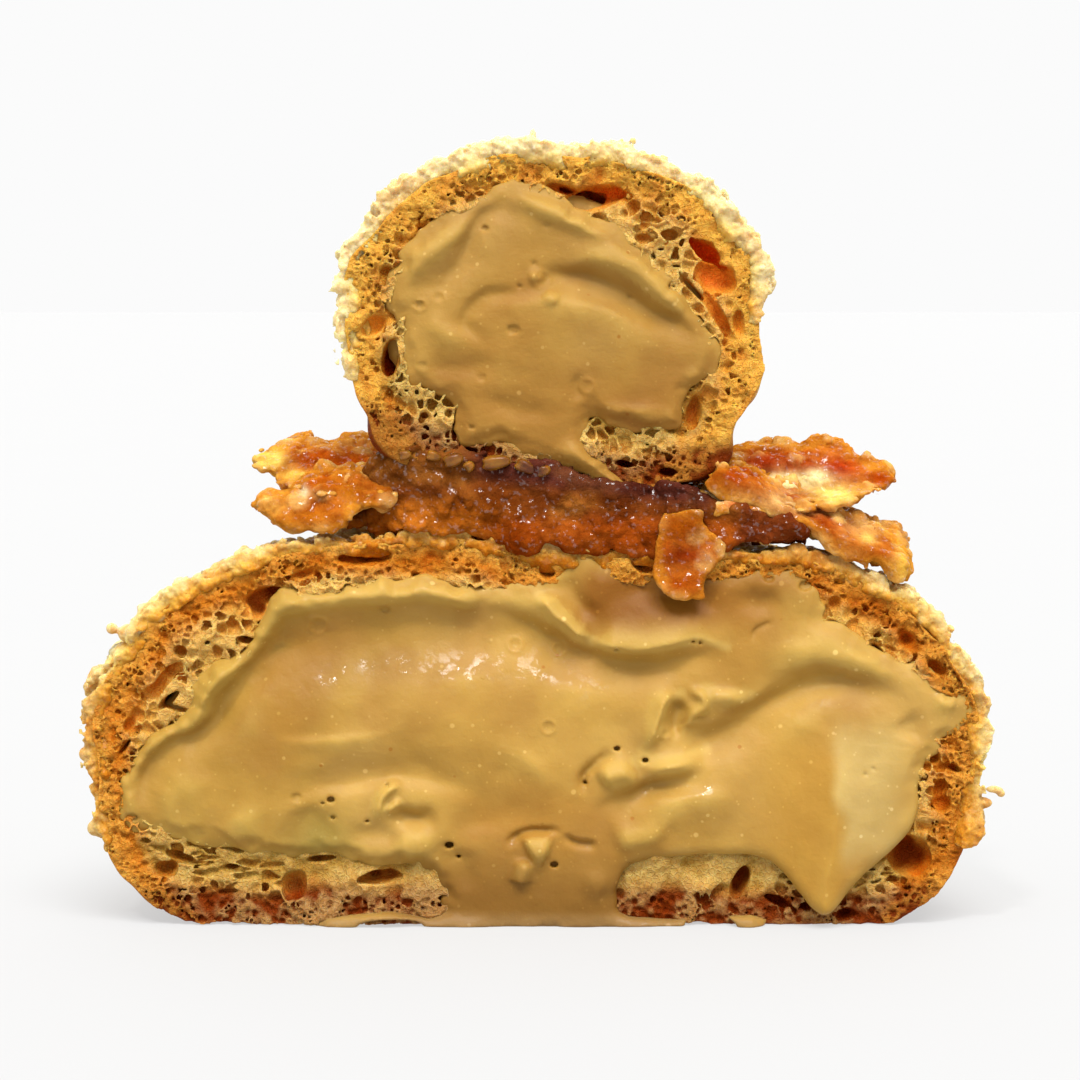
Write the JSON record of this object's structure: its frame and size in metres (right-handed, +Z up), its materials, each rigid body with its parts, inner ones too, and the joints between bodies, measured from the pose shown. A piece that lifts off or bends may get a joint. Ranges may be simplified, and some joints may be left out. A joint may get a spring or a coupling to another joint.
{
  "type": "religieuse",
  "caption": "Religieuse cut in half: a small cream-filled choux bun on a large one, with soft caramel and shards of seed brittle between them.",
  "frame": {"origin": "middle of the footprint of the whole half pastry, on the table it stands on", "axes": "+Z up, +X along the cut face to the right as one looks at the cut, +Y away from the cut face, into the pastry"},
  "size_m": [0.0771, 0.0402, 0.0665],
  "materials": {
    "choux": "baked choux with a pale, crumbly sugar crust: matt, rough and open, a little translucent",
    "cream": "smooth coffee pastry cream, satin to wet, fine specks",
    "caramel": "soft brown caramel, glossy and sticky, with seeds in it",
    "brittle": "amber seed brittle, glossy, translucent at its thin edges"
  },
  "bodies": {
    "root": {"base_shell": "choux", "top_shell": "choux", "base_cream": "cream", "top_cream": "cream", "caramel_bed": "caramel", "brittle_left_back": "brittle", "brittle_left_front": "brittle", "brittle_right_back": "brittle", "brittle_right_front": "brittle", "brittle_chip": "brittle"}
  },
  "joints": []
}
